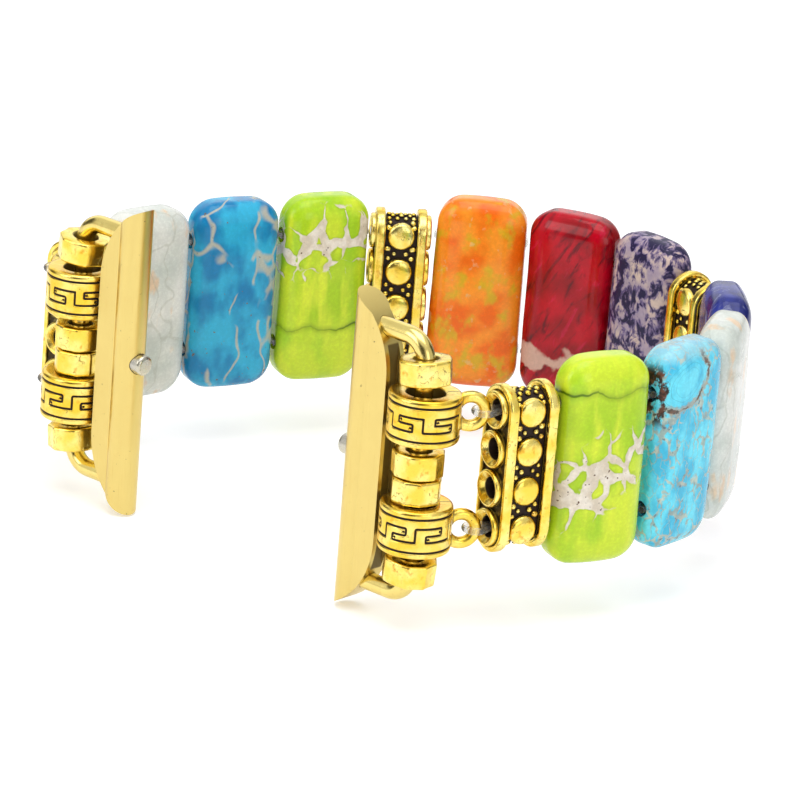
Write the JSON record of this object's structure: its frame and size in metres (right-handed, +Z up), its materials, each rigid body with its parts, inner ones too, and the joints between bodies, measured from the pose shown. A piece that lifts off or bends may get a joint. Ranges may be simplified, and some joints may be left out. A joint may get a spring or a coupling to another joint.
{
  "type": "bead watch band",
  "caption": "Elastic bead watch band of polished slab stones and cast spacer bars, with bails on wire bars and slide-in connectors.",
  "frame": {"origin": "bottom centre of the whole band's bounding box, level with the lower ends of the connectors", "axes": "+Z up along the band's width, +X towards the right connector, +Y from the connectors to the back of the loop"},
  "size_m": [0.0668, 0.0582, 0.0318],
  "materials": {
    "antique_gold": "bright yellow gold plating with dark patina in the recesses",
    "elastic_cord": "clear whitish elastic",
    "stone_lime_right": "dyed and polished natural stone",
    "stone_turquoise": "dyed and polished natural stone",
    "stone_white_right": "dyed and polished natural stone",
    "stone_indigo": "dyed and polished natural stone",
    "stone_violet": "dyed and polished natural stone",
    "stone_crimson": "dyed and polished natural stone",
    "stone_orange": "dyed and polished natural stone",
    "stone_lime_left": "dyed and polished natural stone",
    "stone_sky": "dyed and polished natural stone",
    "stone_white_left": "dyed and polished natural stone",
    "gold_plated_steel": "brushed pale gold plating",
    "lock_steel": "plain steel"
  },
  "bodies": {
    "spacer_right_front": {"spacer_right_front": "antique_gold", "cord_spacer_right_front": "elastic_cord"},
    "stone_lime_right": {"stone_lime_right": "stone_lime_right", "cord_stone_lime_right": "elastic_cord"},
    "stone_turquoise": {"stone_turquoise": "stone_turquoise", "cord_stone_turquoise": "elastic_cord"},
    "stone_white_right": {"stone_white_right": "stone_white_right", "cord_stone_white_right": "elastic_cord"},
    "stone_indigo": {"stone_indigo": "stone_indigo", "cord_stone_indigo": "elastic_cord"},
    "spacer_right_back": {"spacer_right_back": "antique_gold", "cord_spacer_right_back": "elastic_cord"},
    "stone_violet": {"stone_violet": "stone_violet", "cord_stone_violet": "elastic_cord"},
    "stone_crimson": {"stone_crimson": "stone_crimson", "cord_stone_crimson": "elastic_cord"},
    "stone_orange": {"stone_orange": "stone_orange", "cord_stone_orange": "elastic_cord"},
    "spacer_left_back": {"spacer_left_back": "antique_gold", "cord_spacer_left_back": "elastic_cord"},
    "stone_lime_left": {"stone_lime_left": "stone_lime_left", "cord_stone_lime_left": "elastic_cord"},
    "stone_sky": {"stone_sky": "stone_sky", "cord_stone_sky": "elastic_cord"},
    "stone_white_left": {"stone_white_left": "stone_white_left", "cord_stone_white_left": "elastic_cord"},
    "spacer_left_front": {"spacer_left_front": "antique_gold", "cord_spacer_left_front": "elastic_cord"},
    "bail_upper_right": {"bail_upper_right": "antique_gold"},
    "bail_lower_right": {"bail_lower_right": "antique_gold"},
    "connector_right": {"connector_right": "gold_plated_steel", "wire_bar_right": "gold_plated_steel", "lock_spring_right": "lock_steel"},
    "ring_top_right": {"ring_top_right": "antique_gold"},
    "ring_high_right": {"ring_high_right": "antique_gold"},
    "ring_low_right": {"ring_low_right": "antique_gold"},
    "ring_bottom_right": {"ring_bottom_right": "antique_gold"},
    "lock_button_right": {"lock_button_right": "lock_steel"},
    "bail_upper_left": {"bail_upper_left": "antique_gold"},
    "bail_lower_left": {"bail_lower_left": "antique_gold"},
    "connector_left": {"connector_left": "gold_plated_steel", "wire_bar_left": "gold_plated_steel", "lock_spring_left": "lock_steel"},
    "ring_top_left": {"ring_top_left": "antique_gold"},
    "ring_high_left": {"ring_high_left": "antique_gold"},
    "ring_low_left": {"ring_low_left": "antique_gold"},
    "ring_bottom_left": {"ring_bottom_left": "antique_gold"},
    "lock_button_left": {"lock_button_left": "lock_steel"}
  },
  "joints": [
    {"name": "hinge_spacer_right_front", "type": "hinge", "parent": "stone_lime_right", "child": "spacer_right_front", "pos_m": [0.02733, -0.0136, 0.0159], "axis": [0, 0, 1], "range_deg": [-30, 22]},
    {"name": "hinge_stone_lime_right", "type": "hinge", "parent": "stone_turquoise", "child": "stone_lime_right", "pos_m": [0.03106, -0.00389, 0.0159], "axis": [0, 0, 1], "range_deg": [-6, 54]},
    {"name": "hinge_stone_turquoise", "type": "hinge", "parent": "stone_white_right", "child": "stone_turquoise", "pos_m": [0.03052, 0.0065, 0.0159], "axis": [0, 0, 1], "range_deg": [-5, 55]},
    {"name": "hinge_stone_white_right", "type": "hinge", "parent": "stone_indigo", "child": "stone_white_right", "pos_m": [0.02563, 0.01568, 0.0159], "axis": [0, 0, 1], "range_deg": [-12, 48]},
    {"name": "hinge_stone_indigo", "type": "hinge", "parent": "spacer_right_back", "child": "stone_indigo", "pos_m": [0.01815, 0.02291, 0.0159], "axis": [0, 0, 1], "range_deg": [-2, 50]},
    {"name": "hinge_spacer_right_back", "type": "hinge", "parent": "stone_violet", "child": "spacer_right_back", "pos_m": [0.01176, 0.02523, 0.0159], "axis": [0, 0, 1], "range_deg": [-16, 36]},
    {"name": "hinge_stone_violet", "type": "hinge", "parent": "stone_crimson", "child": "stone_violet", "pos_m": [0.00152, 0.02704, 0.0159], "axis": [0, 0, 1], "range_deg": [-5, 55]},
    {"name": "hinge_stone_orange", "type": "hinge", "parent": "stone_crimson", "child": "stone_orange", "pos_m": [-0.00853, 0.02435, 0.0159], "axis": [0, 0, 1], "range_deg": [-52, 8]},
    {"name": "hinge_spacer_left_back", "type": "hinge", "parent": "stone_orange", "child": "spacer_left_back", "pos_m": [-0.01683, 0.01809, 0.0159], "axis": [0, 0, 1], "range_deg": [-35, 17]},
    {"name": "hinge_stone_lime_left", "type": "hinge", "parent": "spacer_left_back", "child": "stone_lime_left", "pos_m": [-0.02156, 0.0132, 0.0159], "axis": [0, 0, 1], "range_deg": [-47, 5]},
    {"name": "hinge_stone_sky", "type": "hinge", "parent": "stone_lime_left", "child": "stone_sky", "pos_m": [-0.02562, 0.00362, 0.0159], "axis": [0, 0, 1], "range_deg": [-32, 28]},
    {"name": "hinge_stone_white_left", "type": "hinge", "parent": "stone_sky", "child": "stone_white_left", "pos_m": [-0.02935, -0.00609, 0.0159], "axis": [0, 0, 1], "range_deg": [-41.5, 18.5]},
    {"name": "hinge_spacer_left_front", "type": "hinge", "parent": "stone_white_left", "child": "spacer_left_front", "pos_m": [-0.03106, -0.01634, 0.0159], "axis": [0, 0, 1], "range_deg": [-42.3, 9.7]},
    {"name": "hinge_bail_upper_right", "type": "hinge", "parent": "spacer_right_front", "child": "bail_upper_right", "pos_m": [0.02514, -0.02077, 0.0159], "axis": [0, 0, 1], "range_deg": [-61, 99]},
    {"name": "hinge_bail_lower_right", "type": "hinge", "parent": "spacer_right_front", "child": "bail_lower_right", "pos_m": [0.02514, -0.02077, 0.0159], "axis": [0, 0, 1], "range_deg": [-61, 99]},
    {"name": "hinge_connector_right", "type": "hinge", "parent": "bail_upper_right", "child": "connector_right", "pos_m": [0.02158, -0.02566, 0.0159], "axis": [0, 0, 1], "range_deg": [-36, 144]},
    {"name": "spin_ring_top_right", "type": "hinge", "parent": "connector_right", "child": "ring_top_right", "pos_m": [0.02158, -0.02566, 0.0159], "axis": [0, 0, 1], "continuous": true},
    {"name": "spin_ring_high_right", "type": "hinge", "parent": "connector_right", "child": "ring_high_right", "pos_m": [0.02158, -0.02566, 0.0159], "axis": [0, 0, 1], "continuous": true},
    {"name": "spin_ring_low_right", "type": "hinge", "parent": "connector_right", "child": "ring_low_right", "pos_m": [0.02158, -0.02566, 0.0159], "axis": [0, 0, 1], "continuous": true},
    {"name": "spin_ring_bottom_right", "type": "hinge", "parent": "connector_right", "child": "ring_bottom_right", "pos_m": [0.02158, -0.02566, 0.0159], "axis": [0, 0, 1], "continuous": true},
    {"name": "press_lock_button_right", "type": "slide", "parent": "connector_right", "child": "lock_button_right", "axis": [1, 0, 0], "range_m": [0, 0.0007], "stiffness_N_per_m": 200, "springref_m": -0.001, "deforming": ["lock_spring_right"]},
    {"name": "hinge_bail_upper_left", "type": "hinge", "parent": "spacer_left_front", "child": "bail_upper_left", "pos_m": [-0.03017, -0.02379, 0.0159], "axis": [0, 0, 1], "range_deg": [-145.2, 14.8]},
    {"name": "hinge_bail_lower_left", "type": "hinge", "parent": "spacer_left_front", "child": "bail_lower_left", "pos_m": [-0.03017, -0.02379, 0.0159], "axis": [0, 0, 1], "range_deg": [-145.2, 14.8]},
    {"name": "hinge_connector_left", "type": "hinge", "parent": "bail_upper_left", "child": "connector_left", "pos_m": [-0.02442, -0.02566, 0.0159], "axis": [0, 0, 1], "range_deg": [-108, 72]},
    {"name": "spin_ring_top_left", "type": "hinge", "parent": "connector_left", "child": "ring_top_left", "pos_m": [-0.02442, -0.02566, 0.0159], "axis": [0, 0, 1], "continuous": true},
    {"name": "spin_ring_high_left", "type": "hinge", "parent": "connector_left", "child": "ring_high_left", "pos_m": [-0.02442, -0.02566, 0.0159], "axis": [0, 0, 1], "continuous": true},
    {"name": "spin_ring_low_left", "type": "hinge", "parent": "connector_left", "child": "ring_low_left", "pos_m": [-0.02442, -0.02566, 0.0159], "axis": [0, 0, 1], "continuous": true},
    {"name": "spin_ring_bottom_left", "type": "hinge", "parent": "connector_left", "child": "ring_bottom_left", "pos_m": [-0.02442, -0.02566, 0.0159], "axis": [0, 0, 1], "continuous": true},
    {"name": "press_lock_button_left", "type": "slide", "parent": "connector_left", "child": "lock_button_left", "axis": [-1, 0, 0], "range_m": [0, 0.0007], "stiffness_N_per_m": 200, "springref_m": -0.001, "deforming": ["lock_spring_left"]}
  ],
  "couplings": [
    {"joint": "hinge_bail_lower_right", "follows": "hinge_bail_upper_right", "ratio": 1},
    {"joint": "hinge_bail_lower_left", "follows": "hinge_bail_upper_left", "ratio": 1}
  ]
}
